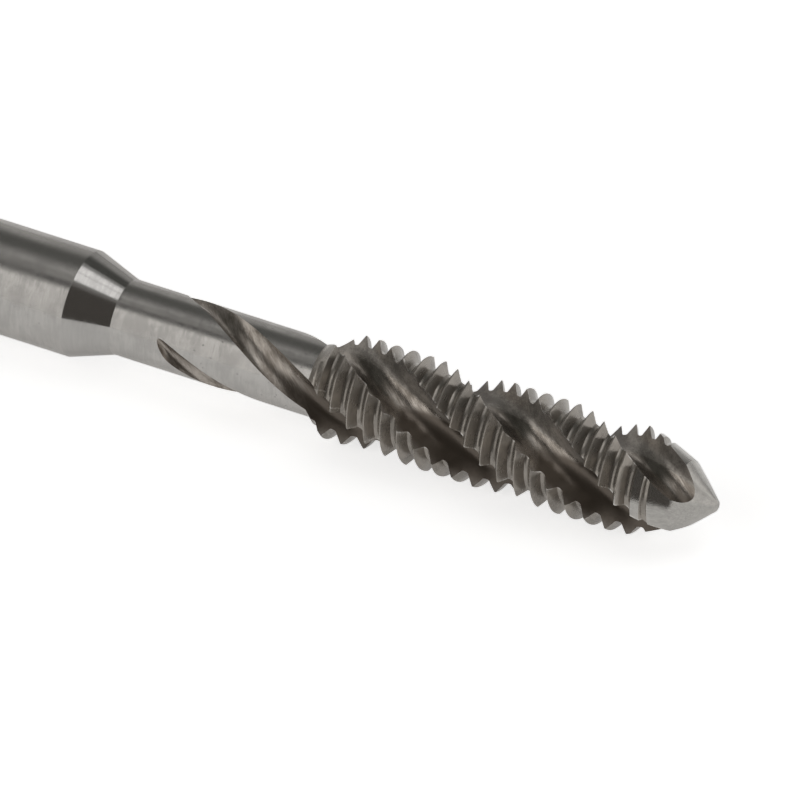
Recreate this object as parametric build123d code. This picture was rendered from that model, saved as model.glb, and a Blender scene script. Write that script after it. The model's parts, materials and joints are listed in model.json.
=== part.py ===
"""A spiral flute machine tap, M6 x 1, ground from one bar of high-speed steel.

The tap is drawn upright, with its shank end at z = 0 and its point up, and is laid down at the end:
its axis then runs along X with the point towards +X, and the shank rests on z = 0. The origin is in
the middle of the tap's length, under the axis.
"""
import os
from math import asin, atan2, ceil, cos, degrees, radians, sin, sqrt, tan

from build123d import *

# Driving dimensions, in millimetres and degrees

overall_length = 80.0
shank_diameter = 6.0
shank_end_chamfer = 0.4
square_width = 4.9
square_length = 8.0
square_corner_radius = 1.5

shoulder_length = 2.5
neck_diameter = 4.26
neck_length = 11.85

thread_diameter = 6.0
thread_pitch = 1.0
thread_depth = 0.6
thread_crest_width = 0.06
thread_flank_angle = 30.0
thread_length = 21.75
thread_start_taper = 1.13
lead_taper_length = 2.87
lead_end_diameter = 4.14
point_length = 2.0
point_end_diameter = 0.36

flute_count = 3
flute_lead = 24.8
flute_rake_angle = 8.0
flute_rake_depth = 0.6
flute_bottom_radius = 1.3
flute_width_angle = 64.0
runout_length = 18.6
runout_thread_overlap = 9.75
runout_steady_share = 0.62
runout_exit_power = 110.0
runout_end_tilt = 30.0
runout_tilt_power = 8.0
runout_sections = 24
runout_overrun = 1.01

# Angles about the axis, counted from +Y towards +Z once the tap lies down: of the thread's crest
# where the thread starts, and of the first cutting edge at the point

thread_start_angle = 204.0
flute_point_angle = 0.0

# Metal that a cutter sweeps past the bar's surface

cutter_room = 1.2
thread_room = 0.2

# Where in a flute's width, from its cutting edge, the thread's slabs have their corners

slab_corner_share = 0.45

# Stations along the axis, from the shank end

lead_end_z = overall_length - point_length
thread_start_z = lead_end_z - thread_length
neck_start_z = thread_start_z - neck_length
shoulder_z = neck_start_z - shoulder_length

shank_radius = shank_diameter / 2
neck_radius = neck_diameter / 2
thread_radius = thread_diameter / 2
root_radius = thread_radius - thread_depth
lead_end_radius = lead_end_diameter / 2
point_end_radius = point_end_diameter / 2


def polar(radius, angle):
    """A point of a cross-section, from its radius and its angle in degrees."""
    return Vector(radius * cos(radians(angle)), radius * sin(radians(angle)), 0)


def turned(profile):
    """A solid turned about the axis, from the (radius, z) corners of its outer edge."""
    closed = [(0, profile[0][1])] + profile + [(0, profile[-1][1])]
    return revolve(make_face(Plane.XZ * Polyline(*closed, close=True)), Axis.Z).solid()


def shank_and_neck():
    """The plain part of the bar: shank, shoulder cone and neck, with a small chamfer at the shank end."""
    return turned(
        [
            (shank_radius - shank_end_chamfer, 0),
            (shank_radius, shank_end_chamfer),
            (shank_radius, shoulder_z),
            (neck_radius, neck_start_z),
            (neck_radius, thread_start_z),
        ]
    )


def drive_square():
    """The metal that is ground off the shank end to leave four drive flats."""
    flat_height = shank_radius - square_width / 2 + cutter_room
    flat_middle = square_width / 2 + flat_height / 2
    length = square_length + cutter_room
    block = Box(flat_height, 2 * shank_radius + cutter_room, length)
    block = block.moved(Location((flat_middle, 0, square_length - length / 2)))
    inner_edge = block.edges().filter_by(Axis.Y).group_by(Axis.Z)[-1].sort_by(Axis.X)[0]
    block = fillet(inner_edge, square_corner_radius)
    return [block.rotate(Axis.Z, 90 * side) for side in range(4)]


def thread_section():
    """Cross-section of the threaded bar: one turn of the thread's profile wrapped round the axis."""
    crest_half = 180 * thread_crest_width / thread_pitch
    flank_width = thread_depth * tan(radians(thread_flank_angle))
    root_start = crest_half + 360 * flank_width / thread_pitch

    def arc(start_radius, start_angle, end_radius, end_angle):
        start = polar(start_radius, start_angle)
        middle = polar((start_radius + end_radius) / 2, (start_angle + end_angle) / 2)
        return Edge.make_three_point_arc(start, middle, polar(end_radius, end_angle))

    crest = arc(thread_radius, -crest_half, thread_radius, crest_half)
    falling = arc(thread_radius, crest_half, root_radius, root_start)
    root = arc(root_radius, root_start, root_radius, 360 - root_start)
    rising = arc(root_radius, 360 - root_start, thread_radius, 360 - crest_half)
    return Face(Wire([crest, falling, root, rising]))


def threaded_bar():
    """A bar with the full thread, stacked from equal slabs, long enough to reach past the point.

    A slab is as long as the thread takes to gain a whole turn on the flutes. The corners of every
    slab's ends then lie inside the flutes, which cut them away, and the lands have none.
    """
    slab_length = 1 / (1 / thread_pitch - 1 / flute_lead)
    slab_turn = 360 * slab_length / thread_pitch
    flute_turn = flute_point_angle - 360 * (overall_length - thread_start_z) / flute_lead
    gain = flute_turn + flute_width_angle * slab_corner_share - thread_start_angle
    below = slab_length * (2 - gain % 360 / 360)
    slab = Solid.extrude_linear_with_rotation(thread_section(), (0, 0, 0), (0, 0, slab_length), slab_turn)
    ends = slab.faces().filter_by(GeomType.PLANE).sort_by(Axis.Z)
    sides = slab.faces().filter_by(GeomType.PLANE, reverse=True)
    slabs = ceil((overall_length - thread_start_z + below) / slab_length) + 1
    places = [Location((0, 0, step * slab_length), (0, 0, step * slab_turn)) for step in range(slabs)]
    skin = [side.moved(place) for place in places for side in sides]
    skin.append(ends[0])
    skin.append(ends[-1].moved(places[-1]))
    start_angle = thread_start_angle - 360 * below / thread_pitch
    return Solid(Shell(skin)).moved(Location((0, 0, thread_start_z - below), (0, 0, start_angle)))


def thread_envelope():
    """What the thread is turned down to: its tapered start, its lead taper and the point."""
    start_slope = thread_start_taper / (thread_radius - neck_radius)
    lead_slope = lead_taper_length / (thread_radius - lead_end_radius)
    room_radius = thread_radius + thread_room
    return turned(
        [
            (neck_radius, thread_start_z),
            (room_radius, thread_start_z + start_slope * (room_radius - neck_radius)),
            (room_radius, lead_end_z - lead_slope * (room_radius - lead_end_radius)),
            (lead_end_radius, lead_end_z),
            (point_end_radius, overall_length),
        ]
    )


def flute_lines():
    """What sets one flute's cross-section: the lines of its cutting face and back, and its round bottom.

    Each line is a point on the thread's crest and an outward direction. The cutting edge is at
    angle 0, and the heel is at the flute's full width.
    """
    rake = polar(1, flute_rake_angle)
    cutting_edge = polar(thread_radius, 0)
    heel = polar(thread_radius, flute_width_angle)
    face_end = cutting_edge - rake * flute_rake_depth
    centre = face_end + polar(flute_bottom_radius, flute_rake_angle + 90)
    to_heel = heel - centre
    back_angle = degrees(atan2(to_heel.Y, to_heel.X) - asin(flute_bottom_radius / to_heel.length))
    return (cutting_edge, rake), (heel, polar(1, back_angle)), centre


def flute_section():
    """Cross-section of one flute: a hooked cutting face, a round bottom and a straight back to the heel."""
    (cutting_edge, rake), (heel, back), centre = flute_lines()
    face_end = cutting_edge - rake * flute_rake_depth
    back_start = heel - back * (heel - centre).dot(back)
    bottom = centre - (rake + back).normalized() * flute_bottom_radius
    over_edge = cutting_edge + rake * cutter_room
    over_heel = heel + back * cutter_room
    over_middle = polar(thread_radius + 2 * cutter_room, flute_width_angle / 2)
    return Wire(
        [
            Edge.make_line(over_edge, face_end),
            Edge.make_three_point_arc(face_end, bottom, back_start),
            Edge.make_line(back_start, over_heel),
            Edge.make_line(over_heel, over_middle),
            Edge.make_line(over_middle, over_edge),
        ]
    )


def exit_lift():
    """How far the cutter slides along the flute's back until its round bottom is clear of the neck."""
    _, (_, back), centre = flute_lines()
    along = centre.dot(back)
    aside = centre.length**2 - along**2
    return sqrt((neck_radius + flute_bottom_radius) ** 2 - aside) - along


def flute():
    """What one flute takes away: a helix through the thread, and a run-out that rises out of the neck.

    The run-out rises gently at first. At its end the cutter turns a little aside and leaves the neck
    steeply, so that the flute ends bluntly. Its sections stand closer together there.
    """
    section = flute_section()
    (_, rake), (_, back), _ = flute_lines()
    middle = Axis((0, 0, 0), rake + back)
    runout_start_z = thread_start_z + runout_thread_overlap
    length = overall_length + cutter_room - runout_start_z
    turn = 360 * length / flute_lead
    helix = Solid.extrude_linear_with_rotation(section, (0, 0, 0), (0, 0, length), turn)
    stages = []
    for step in range(runout_sections + 1):
        share = runout_overrun * (1 - (1 - step / runout_sections) ** 2)
        steady = runout_steady_share * share**2 * (3 - 2 * share)
        leaving = (1 - runout_steady_share) * share**runout_exit_power
        lifted = section.moved(Location(back * (exit_lift() * (steady + leaving))))
        tilted = lifted.rotate(middle, runout_end_tilt * share**runout_tilt_power)
        below = runout_length * share
        stages.append(tilted.moved(Location((0, 0, -below), (0, 0, -360 * below / flute_lead))))
    runout = Solid.make_loft(stages)
    start_angle = flute_point_angle - 360 * (overall_length - runout_start_z) / flute_lead
    return (helix + runout).moved(Location((0, 0, runout_start_z), (0, 0, start_angle)))


def tap():
    """The whole tap, upright."""
    bar = shank_and_neck() - drive_square()
    bar = bar + (threaded_bar() & thread_envelope())
    cutter = flute()
    return bar - [cutter.rotate(Axis.Z, 360 * place / flute_count) for place in range(flute_count)]


def laid_down(upright):
    """The tap on its side, resting on z = 0, with its point towards +X."""
    rest = Plane(origin=(-overall_length / 2, 0, thread_radius), x_dir=(0, 1, 0), z_dir=(1, 0, 0))
    return upright.moved(rest.location)


os.makedirs("parts", exist_ok=True)
result = laid_down(tap()).solid()
export_step(result, "parts/tap.step")
print("tap volume", round(result.volume, 2), "faces", len(result.faces()))
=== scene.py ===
"""Looks of a spiral flute machine tap in bare ground high-speed steel.

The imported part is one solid, the node tap. Here a finer skin of the same form takes its place: a
shank and neck turned with small edge rounds, a thread with rounded roots, a relieved lead and point,
and three flutes cut along the same helix and run-out. Each kind of surface has its own ground finish.
Lengths are metres, angles are radians, and the axis of the tap runs along X.
"""
import json
from math import asin, atan2, cos, degrees, hypot, pi, radians, sin, sqrt, tan

import bmesh
import bpy
from bpy.props import FloatProperty, FloatVectorProperty, IntProperty, PointerProperty
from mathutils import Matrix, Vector, noise


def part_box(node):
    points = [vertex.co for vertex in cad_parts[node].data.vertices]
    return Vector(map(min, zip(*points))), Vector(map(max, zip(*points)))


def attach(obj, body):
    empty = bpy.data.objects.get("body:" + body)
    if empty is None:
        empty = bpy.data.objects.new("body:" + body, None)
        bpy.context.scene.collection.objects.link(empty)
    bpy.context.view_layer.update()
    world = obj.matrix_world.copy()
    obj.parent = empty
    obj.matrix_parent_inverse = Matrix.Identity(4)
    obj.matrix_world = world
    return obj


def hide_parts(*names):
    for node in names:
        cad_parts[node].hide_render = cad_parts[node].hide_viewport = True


bl_info = {
    "name": "Spiral flute tap",
    "version": (1, 0, 0),
    "blender": (4, 5, 0),
    "location": "3D View > Sidebar > Tap",
    "description": "Skin, ground finishes and stage of a spiral flute machine tap",
    "category": "Object",
}

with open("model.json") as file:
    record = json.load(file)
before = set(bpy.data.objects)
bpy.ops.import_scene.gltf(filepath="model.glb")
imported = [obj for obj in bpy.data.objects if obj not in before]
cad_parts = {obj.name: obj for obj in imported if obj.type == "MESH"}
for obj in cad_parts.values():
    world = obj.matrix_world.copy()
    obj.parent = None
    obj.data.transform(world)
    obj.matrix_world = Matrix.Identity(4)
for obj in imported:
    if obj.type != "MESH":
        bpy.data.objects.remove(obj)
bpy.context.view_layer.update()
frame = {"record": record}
MOUNTS = {mount["name"]: mount for mount in frame["record"]["mounts"]}

MM = 0.001
TURN = 2 * pi
CAD_LOW, CAD_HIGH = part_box("tap")
OVERALL_MM = (CAD_HIGH.x - CAD_LOW.x) / MM
SHANK_MM = 2 * MOUNTS["shank"]["dims"]["r_mm"]

# Metal that a cutter sweeps past the skin

CUTTER_ROOM = 1.2 * MM


def length(name, description, millimetres):
    """A length property, in metres, from its default in millimetres."""
    return FloatProperty(
        name=name,
        description=description,
        default=millimetres * MM,
        min=0.0,
        precision=5,
        unit="LENGTH",
        subtype="DISTANCE",
    )


def angle(name, description, in_degrees):
    """An angle property, from its default in degrees."""
    return FloatProperty(
        name=name, description=description, default=radians(in_degrees), unit="ROTATION", subtype="ANGLE"
    )


def tint(name, description, colour):
    """A colour property, in linear values."""
    return FloatVectorProperty(
        name=name, description=description, default=colour, min=0.0, max=1.0, size=3, subtype="COLOR"
    )


def share(name, description, value):
    """A property between 0 and 1."""
    return FloatProperty(
        name=name, description=description, default=value, min=0.0, max=1.0, subtype="FACTOR"
    )


def power(name, description, value):
    """A property for how late a change comes: the power that its place is raised to."""
    return FloatProperty(name=name, description=description, default=value, min=1.0)


class TapSizes(bpy.types.PropertyGroup):
    """Sizes of the tap's skin."""

    overall_length: length("Overall length", "From the shank end to the point", OVERALL_MM)
    shank_diameter: length("Shank diameter", "Diameter of the plain shank", SHANK_MM)
    shank_end_chamfer: length("Shank end chamfer", "Chamfer at the end of the drive square", 0.4)
    square_width: length("Square width", "Across the drive flats", 4.9)
    square_length: length("Square length", "Length of the drive flats", 8.0)
    square_corner_radius: length("Square corner", "Round where a drive flat runs out", 1.5)
    shoulder_length: length("Shoulder length", "Cone between shank and neck", 2.5)
    shoulder_round: length("Shoulder round", "Edge round at both ends of the cone", 0.12)
    neck_diameter: length("Neck diameter", "Diameter of the neck", 4.26)
    neck_length: length("Neck length", "From the shoulder cone to the thread", 11.85)
    thread_diameter: length("Thread diameter", "Outside diameter of the thread", 6.0)
    thread_pitch: length("Pitch", "Pitch of the thread", 1.0)
    thread_depth: length("Thread depth", "From crest to root", 0.6)
    thread_crest_width: length("Crest width", "Flat on the thread's crest", 0.06)
    thread_flank_angle: angle("Flank angle", "Half of the thread's angle", 30.0)
    thread_length: length("Thread length", "From the neck to the end of the lead", 21.75)
    thread_start_taper: length("Start taper", "Length over which the thread grows from the neck", 1.13)
    crest_wear: length("Crest wear", "How much the crests vary in height", 0.02)
    lead_taper_length: length("Lead length", "Length of the lead taper", 2.87)
    lead_end_diameter: length("Lead end diameter", "Diameter where the lead meets the point", 4.14)
    lead_relief: length("Lead relief", "Drop of a land from cutting edge to heel on the lead", 0.2)
    point_length: length("Point length", "Length of the point cone", 2.0)
    point_end_diameter: length("Point end diameter", "Diameter of the point's blunt end", 0.36)
    flute_count: IntProperty(name="Flutes", description="Number of flutes", default=3, min=2, max=4)
    flute_lead: length("Flute lead", "Length of one whole turn of a flute", 24.8)
    streak_lead: length("Streak lead", "Length of one whole turn of a flute's streaks", 10.0)
    flute_rake_angle: angle("Rake angle", "Hook of the cutting face", 8.0)
    flute_rake_depth: length("Rake depth", "Straight part of the cutting face", 0.6)
    flute_bottom_radius: length("Flute bottom radius", "Radius of the flute's round bottom", 1.3)
    flute_width_angle: angle("Flute width", "Angle from cutting edge to heel on the crest", 64.0)
    runout_length: length("Run-out length", "Length over which a flute leaves the neck", 18.6)
    runout_overlap: length("Run-out overlap", "How far the run-out reaches into the thread", 9.75)
    runout_steady_share: share("Steady share", "Part of the run-out's rise that is gradual", 0.62)
    runout_exit_power: power("Exit power", "How late the final rise comes", 110.0)
    runout_end_tilt: angle("End tilt", "How far the cutter has turned aside at the run-out's end", 30.0)
    runout_tilt_power: power("Tilt power", "How late the cutter turns aside", 8.0)
    thread_start_angle: angle("Thread start", "Place of the crest where the thread starts", 204.0)
    flute_point_angle: angle("Flute start", "Place of the first cutting edge at the point", 0.0)


class TapFinish(bpy.types.PropertyGroup):
    """Colours and textures of the tap's surfaces."""

    ground_colour: tint("Ground steel", "Shank and neck", (0.53, 0.515, 0.495))
    shoulder_colour: tint("Shoulder", "Cone between shank and neck", (0.46, 0.448, 0.432))
    thread_colour: tint("Thread", "Flanks, crests and roots of the thread", (0.37, 0.34, 0.305))
    lead_colour: tint("Lead and point", "Ground cones at the cutting end", (0.49, 0.475, 0.45))
    flute_colour: tint("Flutes", "Milled flutes", (0.47, 0.428, 0.385))
    flute_stain: tint("Flute stain", "Brown film in the flutes", (0.21, 0.183, 0.157))
    # Painted shade: a dark brown laid over the lower side of the flutes in the thread
    painted_shade_film: tint("Oil film", "Brown oil on the lower side of the flutes", (0.13, 0.108, 0.088))
    # Partly bare worn steel, partly painted light: the flutes are lighter beside their edges
    wear_and_sheen_colour: tint("Worn flute", "Bare steel beside the flutes' edges", (0.42, 0.39, 0.355))
    # Partly real burr, partly painted highlight: a bright colour along the flutes' edges
    burr_highlight_colour: tint("Burr", "Bright burr along the edges of the flutes", (0.75, 0.73, 0.7))
    ground_roughness: share("Ground roughness", "Roughness of shank and neck", 0.17)
    thread_roughness: share("Thread roughness", "Roughness of the thread", 0.24)
    flute_roughness: share("Flute roughness", "Roughness of the flutes", 0.14)
    grazing_tint: tint("Grazing tint", "What the steel mirrors at a flat angle", (0.7, 0.69, 0.68))
    haze: share("Haze", "How much of the ground steel scatters light", 0.2)
    thread_haze: share("Thread haze", "How much of the thread scatters light", 0.32)
    flute_haze: share("Flute haze", "How much of the flutes scatters light", 0.1)
    edge_haze: share("Edge haze", "How much of the flutes' worn edges scatters light", 0.5)
    # Painted shade: how much less metallic the flutes' painted dark lower side is
    painted_shade_haze: share("Film haze", "How much more the oil film scatters light", 0.3)
    runout_haze: share("Run-out haze", "How much more the flutes scatter light on the neck", 0.2)
    mark_depth: length("Mark depth", "Depth of the grinding marks", 0.004)


class StageSettings(bpy.types.PropertyGroup):
    """Floor, light and camera."""

    floor_size: length("Floor size", "Width of the floor", 3000.0)
    floor_colour: tint("Floor colour", "Pale floor", (0.93, 0.93, 0.93))
    camera_distance: length("Camera distance", "From the camera to the tap", 1500.0)
    camera_azimuth: angle("Camera azimuth", "Turn of the camera about Z", 26.5)
    camera_elevation: angle("Camera elevation", "Height of the camera's view", 39.98)
    view_width: length("View width", "Width that the picture shows at the tap", 43.03)
    view_centre: length("View centre", "Place along the tap at the picture's middle", 60.82)
    view_raise: length("View raise", "Rise of the picture's middle above the axis", 0.237)
    floor_glow: share("Floor glow", "Light of the floor as the camera sees it", 0.68)
    floor_mirrored: share("Mirrored floor", "Light of the floor as the steel mirrors it", 0.42)
    lamp_size: length("Lamp size", "Width of the soft lamp", 900.0)
    lamp_power: FloatProperty(
        name="Lamp power", description="Power of the soft lamp", default=0.75, min=0.0, unit="POWER"
    )
    zenith_light: tint("Zenith", "Light of the studio where no screen stands", (0.36, 0.355, 0.345))


# Where the soft lamp stands, in metres from the middle of the floor

LAMP_PLACE = (0.12, 0.35, 1.15)

# Screens around the tap: azimuth from the front towards the point, half width, elevation, half height,
# soft edge aside, soft edge up and down, all in degrees, and their light

SCREENS = {
    "horizon": ((0, 180, -10, 30, 1, 7), (0.45, 0.445, 0.435)),
    "dark_wall": ((-140, 67, 46, 20, 3, 9), (0.06, 0.062, 0.056)),
    "back_glow": ((-128, 26, 10, 16, 20, 14), (0.55, 0.545, 0.53)),
    "seam": ((-50, 17, 60, 8, 5, 3), (0.02, 0.02, 0.02)),
    "window": ((-42, 28, 12, 43, 2, 4), (0.98, 0.965, 0.94)),
    "dark_front": ((43, 50, 31, 38, 14, 8), (0.05, 0.043, 0.036)),
    "side_wall": ((96, 53, 0, 32, 10, 8), (0.95, 0.94, 0.92)),
    "overhead": ((100, 38, 77, 5, 5, 3), (1.2, 1.2, 1.2)),
    "overhead_end": ((150, 14, 66, 8, 6, 4), (1.2, 1.2, 1.2)),
}


SLOTS = ("ground_shank", "turned_shoulder", "ground_thread", "ground_lead", "milled_flute", "drive_flat")
SHANK, SHOULDER, THREAD, LEAD, FLUTE, FLAT = range(len(SLOTS))


class TapForm:
    """Stations, radii and angles of the tap, worked out from its sizes."""

    def __init__(self, sizes):
        self.sizes = sizes
        self.axis_height = sizes.thread_diameter / 2
        self.shank_radius = sizes.shank_diameter / 2
        self.neck_radius = sizes.neck_diameter / 2
        self.thread_radius = sizes.thread_diameter / 2
        self.root_radius = self.thread_radius - sizes.thread_depth
        self.lead_end_radius = sizes.lead_end_diameter / 2
        self.lead_end = sizes.overall_length - sizes.point_length
        self.lead_start = self.lead_end - sizes.lead_taper_length
        self.thread_start = self.lead_end - sizes.thread_length
        self.neck_start = self.thread_start - sizes.neck_length
        self.shoulder = self.neck_start - sizes.shoulder_length

    def at(self, along, radius, turned):
        """A point from its place along the axis, its radius and its angle from +Y towards +Z."""
        return Vector(
            (
                along - self.sizes.overall_length / 2,
                radius * cos(turned),
                self.axis_height + radius * sin(turned),
            )
        )

    def cutting_edge(self, along):
        """Angle of the first cutting edge at a place along the axis."""
        sizes = self.sizes
        return sizes.flute_point_angle - TURN * (sizes.overall_length - along) / sizes.flute_lead


def mesh_object(name, points, faces, slots):
    """A closed mesh object with its faces turned outwards, and a material slot for each face."""
    mesh = bpy.data.meshes.new(name)
    mesh.from_pydata([tuple(point) for point in points], [], faces)
    mesh.polygons.foreach_set("material_index", slots)
    skin = bmesh.new()
    skin.from_mesh(mesh)
    bmesh.ops.recalc_face_normals(skin, faces=skin.faces)
    skin.to_mesh(mesh)
    skin.free()
    made = bpy.data.objects.new(name, mesh)
    bpy.context.scene.collection.objects.link(made)
    for slot in SLOTS:
        mesh.materials.append(bpy.data.materials[slot])
    return made


def lofted(name, rings, slot_of_ring):
    """A closed skin through a row of rings that have equally many points."""
    count = len(rings[0])
    faces = []
    slots = []
    for row in range(len(rings) - 1):
        for column in range(count):
            following = (column + 1) % count
            low = row * count
            high = low + count
            faces.append((low + column, low + following, high + following, high + column))
            slots.append(slot_of_ring(row))
    faces.append(tuple(reversed(range(count))))
    faces.append(tuple((len(rings) - 1) * count + column for column in range(count)))
    slots += [slot_of_ring(0), slot_of_ring(len(rings) - 2)]
    return mesh_object(name, [point for ring in rings for point in ring], faces, slots)


def combined(body, operation, tool):
    """Adds, intersects or cuts the body with a tool object, and deletes the tool."""
    step = body.modifiers.new("shape", "BOOLEAN")
    step.operation = operation
    step.solver = "MANIFOLD"
    step.object = tool
    shown = body.evaluated_get(bpy.context.evaluated_depsgraph_get())
    mesh = bpy.data.meshes.new_from_object(shown)
    body.modifiers.clear()
    body.data = mesh
    bpy.data.objects.remove(tool)
    return body


def round_corner(before, corner, after, radius, steps):
    """Points of a round that replaces the corner between two straight lines."""
    inward = (before - corner).normalized()
    outward = (after - corner).normalized()
    half = inward.angle(outward) / 2
    reach = radius / tan(half)
    centre = corner + (inward + outward).normalized() * (radius / sin(half))
    start = corner + inward * reach - centre
    end = corner + outward * reach - centre
    sweep = start.angle(end)
    points = []
    for step in range(steps + 1):
        place = step / steps
        swung = start * sin((1 - place) * sweep) + end * sin(place * sweep)
        points.append(centre + swung / sin(sweep))
    return points


def plain_bar(form):
    """Shank, shoulder cone and neck, turned with small rounds at the cone's edges."""
    sizes = form.sizes
    segments = 256
    round_steps = 5
    half_round = (round_steps + 1) // 2
    inside_thread = 0.25 * MM
    corners = [
        Vector((0, form.shank_radius - sizes.shank_end_chamfer)),
        Vector((sizes.shank_end_chamfer, form.shank_radius)),
        Vector((form.shoulder, form.shank_radius)),
        Vector((form.neck_start, form.neck_radius)),
        Vector((form.thread_start + inside_thread, form.neck_radius)),
    ]
    profile = corners[:1]
    profile += round_corner(*corners[:3], sizes.shoulder_round, round_steps)
    cone_starts = len(profile) + half_round
    profile += round_corner(*corners[1:4], sizes.shoulder_round, round_steps)
    profile += round_corner(*corners[2:5], sizes.shoulder_round, round_steps)
    cone_ends = len(profile) - 1 - half_round
    profile += corners[4:]
    rings = []
    for along, radius in profile:
        rings.append([form.at(along, radius, TURN * step / segments) for step in range(segments)])
    return lofted("tap_skin", rings, lambda row: SHOULDER if cone_starts <= row < cone_ends else SHANK)


def thread_profile(form):
    """One pitch of the thread, as places along the pitch from the crest, and their radii.

    The straight flank ends a little above the root, and two points round it into the root.
    """
    sizes = form.sizes
    half_crest = sizes.thread_crest_width / 2
    flank = sizes.thread_depth * tan(sizes.thread_flank_angle)
    half_root = sizes.thread_pitch / 2 - half_crest - flank
    straight_flank = 0.93
    rounded_root = 0.35
    high_rise = 0.3 * half_root
    low_rise = 0.15 * high_rise
    side = [
        (half_crest, form.thread_radius),
        (half_crest + flank / 2, form.thread_radius - sizes.thread_depth / 2),
        (half_crest + flank * straight_flank, form.root_radius + high_rise),
        (half_crest + flank + half_root * rounded_root, form.root_radius + low_rise),
    ]
    return [(-place, radius) for place, radius in reversed(side)] + side


def threaded_bar(form):
    """A bar with the full thread, as one skin that winds along the helix."""
    sizes = form.sizes
    segments = 108
    spare_turns = 1.5
    wear_around = 2.3
    wear_onward = 0.9
    profile = [(-sizes.thread_pitch / 2, form.root_radius)] + thread_profile(form)
    count = len(profile)
    reach = form.lead_end + sizes.point_length - form.thread_start
    turns = int(reach / sizes.thread_pitch + 2 * spare_turns) + 1
    last = turns * segments
    lowest = form.thread_start - spare_turns * sizes.thread_pitch
    points = []
    for step in range(last + 1):
        wound = TURN * step / segments
        along = lowest + sizes.thread_pitch * step / segments
        turned = sizes.thread_start_angle - TURN * spare_turns + wound
        spot = Vector((wear_around * cos(wound), wear_around * sin(wound), wear_onward * wound))
        wear = sizes.crest_wear * noise.noise(spot)
        for place, radius in profile:
            crest = (radius - form.root_radius) / sizes.thread_depth
            points.append(form.at(along + place, radius + wear * crest, turned))
    faces = []
    for step in range(last):
        for column in range(count):
            if column + 1 < count:
                near, far = step * count + column + 1, (step + 1) * count + column + 1
            else:
                near, far = (step + segments) * count, (step + 1 + segments) * count
            if far < len(points):
                faces.append((step * count + column, (step + 1) * count + column, far, near))
    start_loop = list(range(count)) + [step * count for step in range(segments, 0, -1)]
    end_loop = list(range(last * count, (last + 1) * count))
    end_loop += [(last - step) * count + count - 1 for step in range(1, segments + 1)]
    for loop in (start_loop, end_loop):
        middle = sum(points[corner].x for corner in loop) / len(loop)
        points.append(Vector((middle, 0, form.axis_height)))
        for corner, following in zip(loop, loop[1:] + loop[:1]):
            faces.append((len(points) - 1, corner, following))
    return mesh_object("tap_thread", points, faces, [THREAD] * len(faces))


def straight_line(start, end, steps, first=0):
    """Evenly spaced points of a turned profile, from start to end."""
    points = []
    for step in range(first, steps + 1):
        points.append(tuple(low + (high - low) * (step / steps) for low, high in zip(start, end)))
    return points


def thread_envelope(form):
    """What the thread is ground down to: its tapered start, its relieved lead and the point."""
    sizes = form.sizes
    segments = 288
    room = 0.2 * MM
    inside_neck = 0.15 * MM
    room_radius = form.thread_radius + room
    start_slope = sizes.thread_start_taper / (form.thread_radius - form.neck_radius)
    lead_slope = sizes.lead_taper_length / (form.thread_radius - form.lead_end_radius)
    nose_rise = 0.1 * MM
    nose_steps = 3
    nose_turn = 15
    nose_start = 45
    lead_top = form.lead_end - lead_slope * (room_radius - form.lead_end_radius)
    cone_start = (form.lead_end, form.lead_end_radius)
    cone_end = sizes.overall_length - nose_rise
    cone_end_radius = sizes.point_end_diameter / 2 + nose_rise
    profile = [
        (form.thread_start - start_slope * inside_neck, form.neck_radius - inside_neck),
        (form.thread_start + start_slope * (room_radius - form.neck_radius), room_radius),
    ]
    lead_starts = len(profile)
    profile += straight_line((lead_top, room_radius), cone_start, steps=16)
    profile += straight_line(cone_start, (cone_end, cone_end_radius), steps=8, first=1)
    for step in range(1, nose_steps + 1):
        swing = radians(nose_start + nose_turn * step)
        rise = nose_rise * sin(swing - radians(nose_start)) / sin(radians(nose_start))
        profile.append((cone_end + rise, cone_end_radius * cos(swing) / cos(radians(nose_start))))
    part_turn = TURN / sizes.flute_count
    land = part_turn - sizes.flute_width_angle
    edge_share = 0.4

    def relieved(along, radius, turned):
        """Radius on a land: above the cone at its cutting edge, and below it at its heel."""
        grown = min(max((along - form.lead_start) / sizes.lead_taper_length, 0.0), 1.0)
        grown *= min(radius / form.lead_end_radius, 1.0)
        behind = (form.cutting_edge(along) - turned) % part_turn
        if behind <= land:
            fall = behind / land
        else:
            fall = 1 - (behind - land) / sizes.flute_width_angle
        return radius + sizes.lead_relief * grown * (edge_share - fall)

    rings = []
    angles = [TURN * step / segments for step in range(segments)]
    for along, radius in profile:
        rings.append([form.at(along, relieved(along, radius, turned), turned) for turned in angles])
    return lofted("tap_envelope", rings, lambda row: THREAD if row < lead_starts else LEAD)


def flute_lines(form):
    """Cutting edge, rake direction, centre of the round bottom, heel and back direction of a flute."""
    sizes = form.sizes
    rake = Vector((cos(sizes.flute_rake_angle), sin(sizes.flute_rake_angle)))
    edge = Vector((form.thread_radius, 0))
    heel = form.thread_radius * Vector((cos(sizes.flute_width_angle), sin(sizes.flute_width_angle)))
    centre = edge - rake * sizes.flute_rake_depth + sizes.flute_bottom_radius * Vector((-rake.y, rake.x))
    to_heel = heel - centre
    back_angle = atan2(to_heel.y, to_heel.x) - asin(sizes.flute_bottom_radius / to_heel.length)
    return edge, rake, centre, heel, Vector((cos(back_angle), sin(back_angle)))


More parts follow.
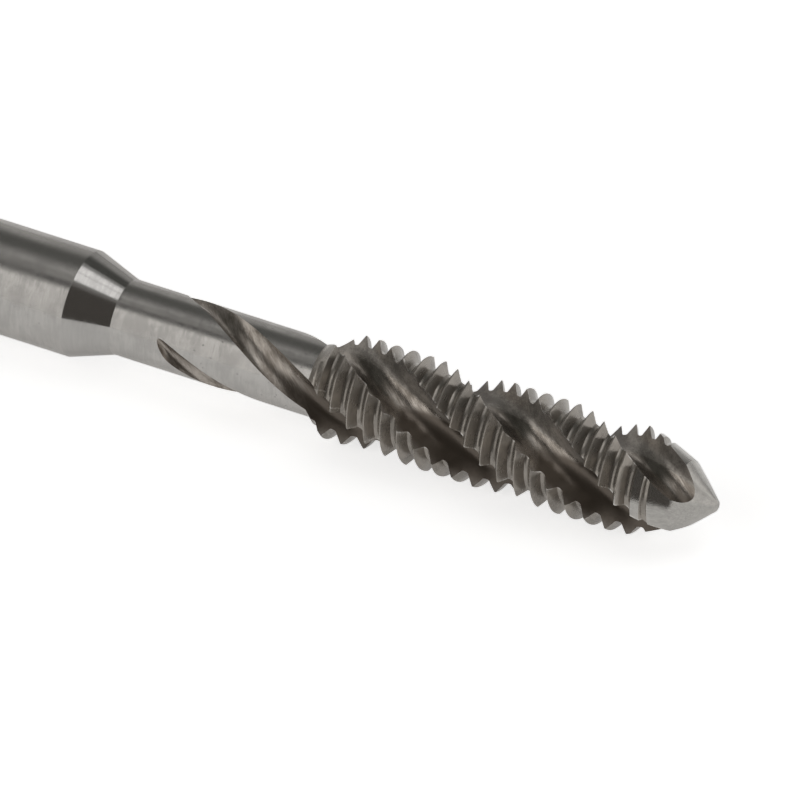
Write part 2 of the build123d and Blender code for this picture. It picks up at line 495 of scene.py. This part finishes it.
def flute_section(form):
    """Outline of one flute: a hooked cutting face, a round bottom and a straight back to the heel."""
    sizes = form.sizes
    edge, rake, centre, heel, back = flute_lines(form)
    face_end = edge - rake * sizes.flute_rake_depth
    back_start = heel - back * (heel - centre).dot(back)
    start_swing = sizes.flute_rake_angle - pi / 2
    end_swing = atan2(back.y, back.x) + pi / 2 - TURN
    arc_steps = 18
    outline = [edge + rake * CUTTER_ROOM, edge, edge.lerp(face_end, 0.5)]
    for step in range(arc_steps + 1):
        swing = start_swing + (end_swing - start_swing) * step / arc_steps
        outline.append(centre + sizes.flute_bottom_radius * Vector((cos(swing), sin(swing))))
    outline += [back_start.lerp(heel, place) for place in (0.33, 0.67, 1.0)]
    outline.append(heel + back * CUTTER_ROOM)
    half_width = sizes.flute_width_angle / 2
    outline.append((form.thread_radius + 2 * CUTTER_ROOM) * Vector((cos(half_width), sin(half_width))))
    return outline


def runout_lift(form, gone):
    """How far the cutter has slid along the flute's back, from how much of the run-out is gone."""
    sizes = form.sizes
    _, _, centre, _, back = flute_lines(form)
    along = centre.dot(back)
    aside = centre.length_squared - along**2
    clear = sqrt((form.neck_radius + sizes.flute_bottom_radius) ** 2 - aside) - along
    steady = sizes.runout_steady_share * gone**2 * (3 - 2 * gone)
    leaving = (1 - sizes.runout_steady_share) * gone**sizes.runout_exit_power
    return clear * (steady + leaving)


def flute_cutter(form, place):
    """What one flute takes away, from beyond its run-out on the neck to beyond the point."""
    sizes = form.sizes
    outline = flute_section(form)
    _, rake, _, _, back = flute_lines(form)
    middle = (rake + back).normalized()
    runout_start = form.thread_start + sizes.runout_overlap
    step_length = 0.2 * MM
    overrun = 1.01
    runout_steps = 110
    helix_length = sizes.overall_length + CUTTER_ROOM - runout_start
    helix_steps = int(helix_length / step_length)
    stations = []
    for step in range(runout_steps, 0, -1):
        gone = overrun * (1 - (1 - step / runout_steps) ** 2)
        tilt = sizes.runout_end_tilt * gone**sizes.runout_tilt_power
        stations.append((runout_start - sizes.runout_length * gone, runout_lift(form, gone), tilt))
    for step in range(helix_steps + 1):
        stations.append((runout_start + helix_length * step / helix_steps, 0.0, 0.0))
    rings = []
    for along, lift, tilt in stations:
        turned = form.cutting_edge(along) + TURN * place / sizes.flute_count
        ring = []
        for point in outline:
            moved = point + back * lift
            aside = middle.x * moved.y - middle.y * moved.x
            moved -= (1 - cos(tilt)) * aside * Vector((-middle.y, middle.x))
            swing = atan2(moved.y, moved.x)
            ring.append(form.at(along + aside * sin(tilt), moved.length, turned + swing))
        rings.append(ring)
    return lofted("tap_flute", rings, lambda row: FLUTE)


def drive_flat_cutter(form, side):
    """The metal that is ground off the shank end to leave one drive flat."""
    sizes = form.sizes
    flat = sizes.square_width / 2
    reach = form.shank_radius + CUTTER_ROOM
    outline = [Vector((-CUTTER_ROOM, flat)), Vector((-CUTTER_ROOM, reach))]
    outline.append(Vector((sizes.square_length, reach)))
    corner = Vector((sizes.square_length, flat))
    outline += round_corner(outline[-1], corner, outline[0], sizes.square_corner_radius, steps=10)
    turned = pi / 2 * side
    rings = []
    for aside in (-reach, reach):
        rings.append([form.at(p.x, hypot(p.y, aside), turned + atan2(aside, p.y)) for p in outline])
    return lofted("tap_flat", rings, lambda row: FLAT)


def tap_skin(form):
    """The whole tap as one closed skin."""
    shortest_edge = 0.0005 * MM
    sharp_angle = radians(24)
    drive_flats = 4
    threaded = combined(threaded_bar(form), "INTERSECT", thread_envelope(form))
    skin = combined(plain_bar(form), "UNION", threaded)
    for place in range(form.sizes.flute_count):
        skin = combined(skin, "DIFFERENCE", flute_cutter(form, place))
    for side in range(drive_flats):
        skin = combined(skin, "DIFFERENCE", drive_flat_cutter(form, side))
    cleaned = bmesh.new()
    cleaned.from_mesh(skin.data)
    bmesh.ops.dissolve_degenerate(cleaned, edges=cleaned.edges, dist=shortest_edge)
    bmesh.ops.triangulate(cleaned, faces=[face for face in cleaned.faces if len(face.verts) > 4])
    cleaned.to_mesh(skin.data)
    cleaned.free()
    skin.data.shade_smooth()
    skin.data.set_sharp_from_angle(angle=sharp_angle)
    return skin


def add(tree, kind, **settings):
    """A new node with its settings."""
    node = tree.nodes.new(kind)
    for name, value in settings.items():
        setattr(node, name, value)
    return node


def wire(tree, source, target):
    """Links an output socket, or sets a plain value or colour, at an input socket."""
    if isinstance(source, bpy.types.NodeSocket):
        tree.links.new(source, target)
    elif target.type == "RGBA":
        target.default_value = (*source, 1.0)
    else:
        target.default_value = source


def maths(tree, operation, *values):
    """A maths node's result."""
    node = add(tree, "ShaderNodeMath", operation=operation)
    for socket, value in zip(node.inputs, values):
        wire(tree, value, socket)
    return node.outputs[0]


def times(tree, first, second):
    """The product of two values."""
    return maths(tree, "MULTIPLY", first, second)


def plus(tree, first, second):
    """The sum of two values."""
    return maths(tree, "ADD", first, second)


def minus(tree, first, second):
    """The difference of two values."""
    return maths(tree, "SUBTRACT", first, second)


def vector_maths(tree, operation, first, second):
    """A vector maths node's result."""
    node = add(tree, "ShaderNodeVectorMath", operation=operation)
    wire(tree, first, node.inputs[0])
    wire(tree, second, node.inputs[1])
    return node.outputs[0]


def remapped(tree, value, low, high, to_low=0.0, to_high=1.0):
    """A value carried smoothly from one range to another."""
    node = add(tree, "ShaderNodeMapRange", interpolation_type="SMOOTHSTEP")
    for socket, number in zip(node.inputs, (value, low, high, to_low, to_high)):
        wire(tree, number, socket)
    return node.outputs[0]


def mixed(tree, factor, first, second):
    """A mix of two colours, whose sockets come after a Mix node's numbers and vectors."""
    node = add(tree, "ShaderNodeMix", data_type="RGBA")
    for socket, value in zip((0, 6, 7), (factor, first, second)):
        wire(tree, value, node.inputs[socket])
    return node.outputs[2]


def noisy(tree, vector, scale, detail=2.0, roughness=0.5):
    """The value of a noise texture."""
    node = add(tree, "ShaderNodeTexNoise")
    wire(tree, vector, node.inputs["Vector"])
    wire(tree, scale, node.inputs["Scale"])
    wire(tree, detail, node.inputs["Detail"])
    wire(tree, roughness, node.inputs["Roughness"])
    return node.outputs[0]


def new_group(name, inputs, outputs):
    """An empty shader node group with its input and output nodes."""
    group = bpy.data.node_groups.new(name, "ShaderNodeTree")
    for socket, kind, value in inputs:
        made = group.interface.new_socket(name=socket, in_out="INPUT", socket_type=kind)
        if value is not None:
            made.default_value = value
    for socket, kind in outputs:
        group.interface.new_socket(name=socket, in_out="OUTPUT", socket_type=kind)
    return group, add(group, "NodeGroupInput").outputs, add(group, "NodeGroupOutput").inputs


def placed(tree, group, **values):
    """A group node in a material, with its own values."""
    node = add(tree, "ShaderNodeGroup", node_tree=group)
    for name, value in values.items():
        wire(tree, value, node.inputs[name.replace("_", " ")])
    return node.outputs


def tap_place_group(form):
    """Where a point lies on the tap, in millimetres and radians.

    Along counts from the shank end, Out from the axis, and Up from the axis's height. Behind is the
    angle behind a flute's cutting edge. Straight is the place itself, counted from the tip, and Wound
    is the same place turned back along the streaks of a flute.
    """
    sizes = form.sizes
    outputs = [(name, "NodeSocketFloat") for name in ("Along", "Out", "Up", "Behind")]
    outputs += [(name, "NodeSocketVector") for name in ("Straight", "Wound")]
    group, _, out = new_group("tap_place", [], outputs)
    position = add(group, "ShaderNodeTexCoord").outputs["Object"]
    tip = (sizes.overall_length / 2, 0.0, form.axis_height)
    scaled = add(group, "ShaderNodeVectorMath", operation="SCALE")
    wire(group, vector_maths(group, "SUBTRACT", position, tip), scaled.inputs[0])
    wire(group, 1 / MM, scaled.inputs["Scale"])
    straight = scaled.outputs[0]
    parts = add(group, "ShaderNodeSeparateXYZ")
    wire(group, straight, parts.inputs[0])
    onward, sideways, upward = parts.outputs
    unwound = add(group, "ShaderNodeVectorRotate", rotation_type="X_AXIS")
    wire(group, straight, unwound.inputs["Vector"])
    wire(group, times(group, onward, -TURN * MM / sizes.streak_lead), unwound.inputs["Angle"])
    squares = plus(group, times(group, sideways, sideways), times(group, upward, upward))
    wound = times(group, onward, TURN * MM / sizes.flute_lead)
    around = maths(group, "ARCTAN2", upward, sideways)
    behind = minus(group, minus(group, around, sizes.flute_point_angle), wound)
    part_turn = TURN / sizes.flute_count
    edge_room = radians(15)
    wire(group, plus(group, onward, sizes.overall_length / MM), out["Along"])
    wire(group, maths(group, "SQRT", squares), out["Out"])
    wire(group, upward, out["Up"])
    wire(group, maths(group, "WRAP", behind, part_turn - edge_room, -edge_room), out["Behind"])
    wire(group, straight, out["Straight"])
    wire(group, unwound.outputs[0], out["Wound"])
    return group


def grind_marks_group():
    """Fine parallel marks of a grinding wheel: their height, and a shade that varies with them."""
    inputs = [
        ("Place", "NodeSocketVector", None),
        ("Across", "NodeSocketVector", (1.0, 1.0, 1.0)),
        ("Unevenness", "NodeSocketFloat", 0.5),
    ]
    outputs = [("Height", "NodeSocketFloat"), ("Shade", "NodeSocketFloat")]
    group, given, out = new_group("grind_marks", inputs, outputs)
    stretched = vector_maths(group, "MULTIPLY", given["Place"], given["Across"])
    fine = noisy(group, stretched, scale=1.0, detail=3.0, roughness=0.65)
    scratches = noisy(group, stretched, scale=2.5, detail=2.0, roughness=0.6)
    coarse = noisy(group, stretched, scale=0.28, detail=2.0, roughness=0.6)
    patches = noisy(group, given["Place"], scale=0.9, detail=3.0)
    fine_share = 0.6
    marks = plus(group, times(group, fine, fine_share), times(group, coarse, 1 - fine_share))
    uneven = times(group, minus(group, patches, 0.5), given["Unevenness"])
    shade = remapped(group, plus(group, marks, uneven), low=0.32, high=0.68)
    wire(group, scratches, out["Height"])
    wire(group, shade, out["Shade"])
    return group


def steel_specks_group():
    """Small pits and grains that show dark on ground steel."""
    inputs = [
        ("Place", "NodeSocketVector", None),
        ("Density", "NodeSocketFloat", 4.0),
        ("Amount", "NodeSocketFloat", 0.2),
    ]
    group, given, out = new_group("steel_specks", inputs, [("Mask", "NodeSocketFloat")])
    cells = add(group, "ShaderNodeTexVoronoi", feature="F1")
    wire(group, given["Place"], cells.inputs["Vector"])
    wire(group, given["Density"], cells.inputs["Scale"])
    spread = remapped(group, noisy(group, given["Place"], scale=1.7, detail=1.0), low=0.4, high=0.75)
    reach = times(group, given["Amount"], spread)
    within = minus(group, reach, cells.outputs["Distance"])
    wire(group, remapped(group, within, low=0.0, high=0.06), out["Mask"])
    return group


def band_mask(tree, value, low, high, edge):
    """One between two angles in degrees, nothing outside them."""
    rising = remapped(tree, value, radians(low - edge), radians(low + edge))
    falling = remapped(tree, value, radians(high - edge), radians(high + edge), 1.0, 0.0)
    return times(tree, rising, falling)


def burr_highlight_mask(tree, form, place):
    """Ragged burrs along a flute's heel and cutting edge, off the core of the tap, painted bright:
    partly real burr, partly painted highlight.
    """
    heel = degrees(form.sizes.flute_width_angle)
    lean_per_mm = radians(3.9)
    lean = times(tree, minus(tree, place["Out"], form.thread_radius / MM), lean_per_mm)
    level = minus(tree, place["Behind"], lean)
    heel_line = band_mask(tree, level, low=heel - 1.2, high=heel + 1.3, edge=0.5)
    cutting_line = band_mask(tree, level, low=-1.2, high=0.6, edge=0.4)
    broken = noisy(tree, place["Straight"], scale=3.4, detail=3.0)
    ragged = remapped(tree, broken, low=0.46, high=0.6)
    outer = remapped(tree, place["Out"], low=1.9, high=2.05)
    return times(tree, times(tree, plus(tree, heel_line, cutting_line), ragged), outer)


def shaded(colour, factor):
    """A colour made darker or lighter by a factor."""
    return tuple(value * factor for value in colour)


def flute_wear(tree, form, finish, place, shade, stained, haze):
    """A flute's colour and share of metal: scraped edges with painted light on them, a dull run-out, and
    painted shade that darkens and dulls the lower side.
    """
    neck_end = form.thread_start / MM
    heel = form.sizes.flute_width_angle
    past_neck = remapped(tree, place["Along"], low=neck_end - 2.25, high=neck_end + 0.75)
    # Painted shade: in the thread the flutes turn dark brown below about a millimetre above the axis
    film = times(tree, remapped(tree, place["Up"], low=1.05, high=0.75), past_neck)
    from_edge = remapped(tree, place["Behind"], low=radians(3), high=radians(15))
    from_heel = remapped(tree, place["Behind"], low=heel + radians(1), high=heel - radians(3))
    inside = times(tree, from_edge, from_heel)
    # Partly real wear, partly painted light: a lighter colour beside the flutes' cutting edges and heels
    dark_scrapes = shaded(finish.wear_and_sheen_colour, 0.62)
    bright_scrapes = shaded(finish.wear_and_sheen_colour, 1.12)
    worn = mixed(tree, inside, mixed(tree, shade, dark_scrapes, bright_scrapes), stained)
    painted_shade_cover = times(tree, film, remapped(tree, inside, 0.0, 1.0, to_low=0.6, to_high=1.0))
    # The painted shade takes over the flute's colour on its lower side
    colour = mixed(tree, painted_shade_cover, worn, finish.painted_shade_film)
    metal = remapped(tree, inside, 0.0, 1.0, to_low=1.0 - finish.edge_haze, to_high=1.0 - haze)
    # The painted shade also makes the steel on the lower side less metallic
    shade_dulling = times(tree, film, finish.painted_shade_haze)
    dull = remapped(tree, past_neck, 0.0, 1.0, to_low=finish.runout_haze, to_high=0.0)
    return colour, minus(tree, metal, plus(tree, shade_dulling, dull))


def steel(
    name,
    groups,
    form,
    finish,
    colour,
    stain,
    roughness,
    across,
    haze,
    specks,
    uneven=0.5,
    depth=1.0,
    grazing=(1.0, 1.0, 1.0),
    fluted=False,
    highlighted_burrs=False,
):
    """A ground steel material: marks in one direction, a thin stain and small pits."""
    material = bpy.data.materials.new(name)
    material.use_nodes = True
    tree = material.node_tree
    tree.nodes.clear()
    shader = add(tree, "ShaderNodeBsdfPrincipled")
    tree.links.new(shader.outputs[0], add(tree, "ShaderNodeOutputMaterial").inputs[0])
    shader.inputs["Metallic"].default_value = 1.0 - haze
    wire(tree, grazing, shader.inputs["Specular Tint"])
    place = placed(tree, groups["tap_place"])
    where = place["Wound"] if fluted else place["Straight"]
    marks = placed(tree, groups["grind_marks"], Place=where, Across=across, Unevenness=uneven)
    pits = placed(tree, groups["steel_specks"], Place=place["Straight"], Amount=specks)
    surface = mixed(tree, marks["Shade"], stain, colour)
    if fluted:
        surface, metal = flute_wear(tree, form, finish, place, marks["Shade"], surface, haze)
        wire(tree, metal, shader.inputs["Metallic"])
    pit_cover = times(tree, pits["Mask"], 0.6)
    surface = mixed(tree, pit_cover, surface, shaded(stain, 0.35))
    if highlighted_burrs:
        # Partly real burr, partly painted highlight along the flutes' heels and cutting edges
        burr_highlight_cover = times(tree, burr_highlight_mask(tree, form, place), 0.7)
        surface = mixed(tree, burr_highlight_cover, surface, finish.burr_highlight_colour)
    wire(tree, surface, shader.inputs["Base Color"])
    smoother = times(tree, minus(tree, marks["Shade"], 0.5), -0.1)
    wire(tree, plus(tree, smoother, roughness), shader.inputs["Roughness"])
    bump = add(tree, "ShaderNodeBump")
    bump.inputs["Distance"].default_value = finish.mark_depth * depth
    pit_depth = times(tree, pits["Mask"], 0.5)
    wire(tree, minus(tree, marks["Height"], pit_depth), bump.inputs["Height"])
    wire(tree, bump.outputs[0], shader.inputs["Normal"])


def tap_materials(form, finish):
    """The six finishes of the tap."""
    groups = {
        "tap_place": tap_place_group(form),
        "grind_marks": grind_marks_group(),
        "steel_specks": steel_specks_group(),
    }
    shared = (groups, form, finish)
    steel(
        "ground_shank",
        *shared,
        colour=finish.ground_colour,
        stain=shaded(finish.ground_colour, 0.86),
        roughness=finish.ground_roughness,
        across=(14.0, 1.5, 1.5),
        haze=finish.haze,
        specks=0.24,
        uneven=1.0,
        grazing=finish.grazing_tint,
    )
    steel(
        "turned_shoulder",
        *shared,
        colour=finish.shoulder_colour,
        stain=shaded(finish.shoulder_colour, 0.92),
        roughness=finish.ground_roughness - 0.05,
        across=(9.0, 1.2, 1.2),
        haze=0.13,
        specks=0.15,
        depth=0.4,
        grazing=finish.grazing_tint,
    )
    steel(
        "ground_thread",
        *shared,
        colour=finish.thread_colour,
        stain=shaded(finish.thread_colour, 0.75),
        roughness=finish.thread_roughness,
        across=(16.0, 2.0, 2.0),
        haze=finish.thread_haze,
        specks=0.14,
        uneven=1.2,
        highlighted_burrs=True,
    )
    steel(
        "ground_lead",
        *shared,
        colour=finish.lead_colour,
        stain=shaded(finish.lead_colour, 0.78),
        roughness=finish.ground_roughness - 0.04,
        across=(1.6, 12.0, 12.0),
        haze=0.15,
        specks=0.12,
        highlighted_burrs=True,
    )
    steel(
        "milled_flute",
        *shared,
        colour=finish.flute_colour,
        stain=finish.flute_stain,
        roughness=finish.flute_roughness,
        across=(0.6, 16.0, 16.0),
        haze=finish.flute_haze,
        specks=0.1,
        uneven=0.8,
        depth=1.2,
        fluted=True,
    )
    steel(
        "drive_flat",
        *shared,
        colour=finish.ground_colour,
        stain=shaded(finish.ground_colour, 0.78),
        roughness=finish.ground_roughness + 0.06,
        across=(2.0, 12.0, 2.0),
        haze=finish.haze,
        specks=0.1,
    )


class OBJECT_OT_tap_skin(bpy.types.Operator):
    """Builds the tap's skin with its ground finishes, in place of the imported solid"""

    bl_idname = "object.tap_skin"
    bl_label = "Build the tap"
    bl_options = {"REGISTER", "UNDO"}

    def execute(self, context):
        form = TapForm(context.scene.tap_sizes)
        tap_materials(form, context.scene.tap_finish)
        skin = tap_skin(form)
        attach(skin, "root")
        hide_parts("tap")
        return {"FINISHED"}


def screen_mask(tree, value, centre, half, edge):
    """How much of a screen an angle meets, from its middle, half size and soft edge in degrees."""
    off = maths(tree, "WRAP", minus(tree, value, radians(centre)), pi, -pi)
    away = maths(tree, "ABSOLUTE", off)
    return remapped(tree, away, radians(half - edge), radians(half + edge), 1.0, 0.0)


def studio_world(stage):
    """The studio around the tap: pale screens, a bright window and dark walls, all with soft edges."""
    world = bpy.data.worlds.new("studio")
    world.use_nodes = True
    tree = world.node_tree
    tree.nodes.clear()
    background = add(tree, "ShaderNodeBackground")
    tree.links.new(background.outputs[0], add(tree, "ShaderNodeOutputWorld").inputs[0])
    parts = add(tree, "ShaderNodeSeparateXYZ")
    wire(tree, add(tree, "ShaderNodeTexCoord").outputs["Generated"], parts.inputs[0])
    forward = times(tree, parts.outputs["Y"], -1.0)
    azimuth = maths(tree, "ARCTAN2", parts.outputs["X"], forward)
    elevation = maths(tree, "ARCSINE", parts.outputs["Z"])
    shade = stage.zenith_light
    for (aside, half_width, raised, half_height, edge, rise_edge), light in SCREENS.values():
        across = screen_mask(tree, azimuth, aside, half_width, edge)
        upward = screen_mask(tree, elevation, raised, half_height, rise_edge)
        shade = mixed(tree, times(tree, across, upward), shade, light)
    wire(tree, shade, background.inputs["Color"])
    return world


def studio_camera(stage):
    """The camera at the picture's angle, far off with a long lens, so that lines stay parallel."""
    data = bpy.data.cameras.new("camera")
    data.sensor_width = 36.0
    data.lens = data.sensor_width * stage.camera_distance / stage.view_width
    data.clip_end = 10.0
    camera = bpy.data.objects.new("camera", data)
    bpy.context.scene.collection.objects.link(camera)
    flat = cos(stage.camera_elevation)
    swing = stage.camera_azimuth
    towards = Vector((flat * sin(swing), -flat * cos(swing), sin(stage.camera_elevation)))
    sizes = bpy.context.scene.tap_sizes
    upward = towards.cross(Vector((1, 0, 0))).normalized()
    target = Vector((stage.view_centre - sizes.overall_length / 2, 0, sizes.thread_diameter / 2))
    target += upward * stage.view_raise
    camera.location = target + towards * stage.camera_distance
    camera.rotation_euler = towards.to_track_quat("Z", "Y").to_euler()
    bpy.context.scene.camera = camera


def soft_lamp(stage):
    """A square soft light that faces the tap."""
    data = bpy.data.lights.new("overhead_light", "AREA")
    data.shape = "SQUARE"
    data.size = stage.lamp_size
    data.energy = stage.lamp_power
    lamp = bpy.data.objects.new("overhead_light", data)
    bpy.context.scene.collection.objects.link(lamp)
    lamp.location = LAMP_PLACE
    lamp.rotation_euler = Vector(LAMP_PLACE).to_track_quat("Z", "Y").to_euler()


def studio_floor(stage):
    """A plain pale floor, whose own light only the camera and the mirroring steel see."""
    half = stage.floor_size / 2
    corners = [(-half, -half, 0), (half, -half, 0), (half, half, 0), (-half, half, 0)]
    mesh = bpy.data.meshes.new("floor")
    mesh.from_pydata(corners, [], [(0, 1, 2, 3)])
    floor = bpy.data.objects.new("floor", mesh)
    bpy.context.scene.collection.objects.link(floor)
    material = bpy.data.materials.new("pale_floor")
    material.use_nodes = True
    tree = material.node_tree
    shader = tree.nodes["Principled BSDF"]
    shader.inputs["Base Color"].default_value = (*stage.floor_colour, 1.0)
    shader.inputs["Roughness"].default_value = 0.9
    shader.inputs["Specular IOR Level"].default_value = 0.0
    shader.inputs["Emission Color"].default_value = (1.0, 1.0, 1.0, 1.0)
    rays = add(tree, "ShaderNodeLightPath").outputs
    through = maths(tree, "MAXIMUM", rays["Is Glossy Ray"], rays["Is Transmission Ray"])
    mirrored = times(tree, through, stage.floor_mirrored)
    shown = times(tree, rays["Is Camera Ray"], stage.floor_glow)
    wire(tree, maths(tree, "MAXIMUM", shown, mirrored), shader.inputs["Emission Strength"])
    mesh.materials.append(material)


class OBJECT_OT_tap_stage(bpy.types.Operator):
    """Sets the floor, the soft light and the camera"""

    bl_idname = "object.tap_stage"
    bl_label = "Set the stage"
    bl_options = {"REGISTER", "UNDO"}

    def execute(self, context):
        scene = context.scene
        scene.view_settings.view_transform = "Standard"
        scene.world = studio_world(scene.tap_stage)
        studio_floor(scene.tap_stage)
        soft_lamp(scene.tap_stage)
        studio_camera(scene.tap_stage)
        return {"FINISHED"}


class VIEW3D_PT_tap(bpy.types.Panel):
    """Lists the tap's operators and settings"""

    bl_idname = "VIEW3D_PT_tap"
    bl_label = "Spiral flute tap"
    bl_space_type = "VIEW_3D"
    bl_region_type = "UI"
    bl_category = "Tap"

    def draw(self, context):
        layout = self.layout
        for operator in OPERATORS:
            layout.operator(operator.bl_idname)
        for group in (context.scene.tap_sizes, context.scene.tap_finish, context.scene.tap_stage):
            column = layout.column(align=True)
            for name in group.__annotations__:
                column.prop(group, name)


OPERATORS = (OBJECT_OT_tap_skin, OBJECT_OT_tap_stage)
CLASSES = (TapSizes, TapFinish, StageSettings, *OPERATORS, VIEW3D_PT_tap)


def register():
    for item in CLASSES:
        bpy.utils.register_class(item)
    bpy.types.Scene.tap_sizes = PointerProperty(type=TapSizes)
    bpy.types.Scene.tap_finish = PointerProperty(type=TapFinish)
    bpy.types.Scene.tap_stage = PointerProperty(type=StageSettings)


def unregister():
    for name in ("tap_stage", "tap_finish", "tap_sizes"):
        delattr(bpy.types.Scene, name)
    for item in reversed(CLASSES):
        bpy.utils.unregister_class(item)


def main():
    """Builds the tap and its stage."""
    register()
    bpy.ops.object.tap_skin()
    bpy.ops.object.tap_stage()


if __name__ == "__main__":
    main()
